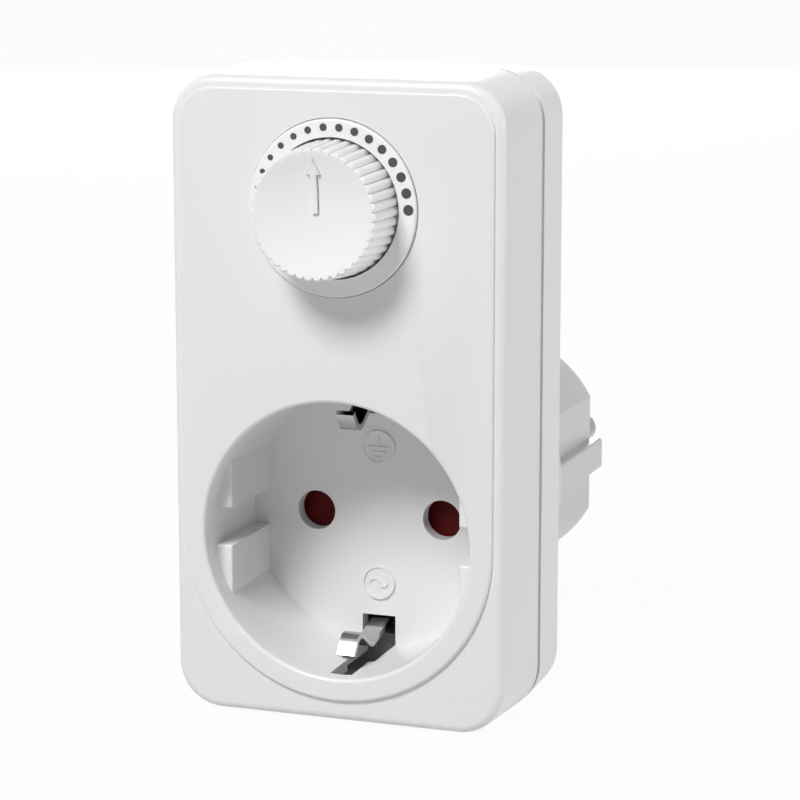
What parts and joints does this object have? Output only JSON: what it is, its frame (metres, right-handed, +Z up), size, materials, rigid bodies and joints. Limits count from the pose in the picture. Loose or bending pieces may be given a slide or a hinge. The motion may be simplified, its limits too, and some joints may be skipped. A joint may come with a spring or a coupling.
{
  "type": "plug in dimmer",
  "caption": "White plug in dimmer: a rounded housing with a wall plug behind, a socket recess in front and a fluted dimming knob with a dotted dial above it.",
  "frame": {"origin": "the middle of the plug's end face, where it meets a wall socket", "axes": "+Y from the room to the wall, along the plug pins; +Z up through the dial; +X to the right as the front is seen"},
  "size_m": [0.0492, 0.0961, 0.0902],
  "materials": {
    "white_cover": "smooth moulded, soft gloss",
    "white_dial": "smooth moulded, soft gloss",
    "grey_print": "printed",
    "maroon_plastic": "moulded",
    "grey_plastic": "moulded",
    "blue_plastic": "moulded",
    "yellow_plastic": "moulded",
    "red_plastic": "dipped",
    "tan_lacquer": "lacquered",
    "black_epoxy": "moulded",
    "board": "laminate",
    "ferrite": "sintered",
    "copper": "enamelled wire",
    "aluminium": "pressed sheet",
    "brass": "stamped",
    "nickel": "nickel plated",
    "steel": "zinc plated",
    "clear_glass": "clear",
    "brown_insulation": "smooth",
    "black_insulation": "smooth"
  },
  "bodies": {
    "housing": {"front_cover": "white_cover", "plug_body": "white_cover", "socket_well": "white_cover", "rear_cover": "white_cover", "dial_ring": "white_dial", "dial_dots": "grey_print", "potentiometer": "blue_plastic", "pot_bushing": "brass", "pot_washer": "steel", "pot_nut": "steel", "circuit_board": "board", "board_screws": "steel", "heat_sink": "aluminium", "triac": "black_epoxy", "triac_screw": "steel", "triac_nut": "steel", "choke_core": "ferrite", "choke_winding": "copper", "filter_capacitor": "yellow_plastic", "timing_capacitor": "red_plastic", "resistors": "tan_lacquer", "diac": "black_epoxy", "fuse_tube": "clear_glass", "fuse_caps": "nickel", "fuse_clips": "nickel", "contact_carrier": "grey_plastic", "line_contact": "brass", "neutral_contact": "brass", "shutter_spring": "steel", "earth_contact_upper": "nickel", "earth_contact_lower": "nickel", "earth_bridge": "nickel", "line_pin": "nickel", "neutral_pin": "nickel", "pin_holder": "grey_plastic", "holder_screw": "steel", "line_lead": "brown_insulation", "dimmed_lead": "black_insulation", "housing_screws": "steel"},
    "knob": {"dimmer_knob": "white_dial", "knob_shaft": "steel"},
    "shutter": {"shutter": "maroon_plastic"}
  },
  "joints": [
    {"name": "knob_turn", "type": "hinge", "parent": "housing", "child": "knob", "pos_m": [0, -0.0695, 0.04605], "axis": [0, 1, 0], "range_deg": [-88.5, 88.5]},
    {"name": "shutter_slide", "type": "slide", "parent": "housing", "child": "shutter", "axis": [0, 0, -1], "range_m": [0, 0.0063], "stiffness_N_per_m": 40, "springref_m": -0.004, "deforming": ["shutter_spring"]}
  ]
}
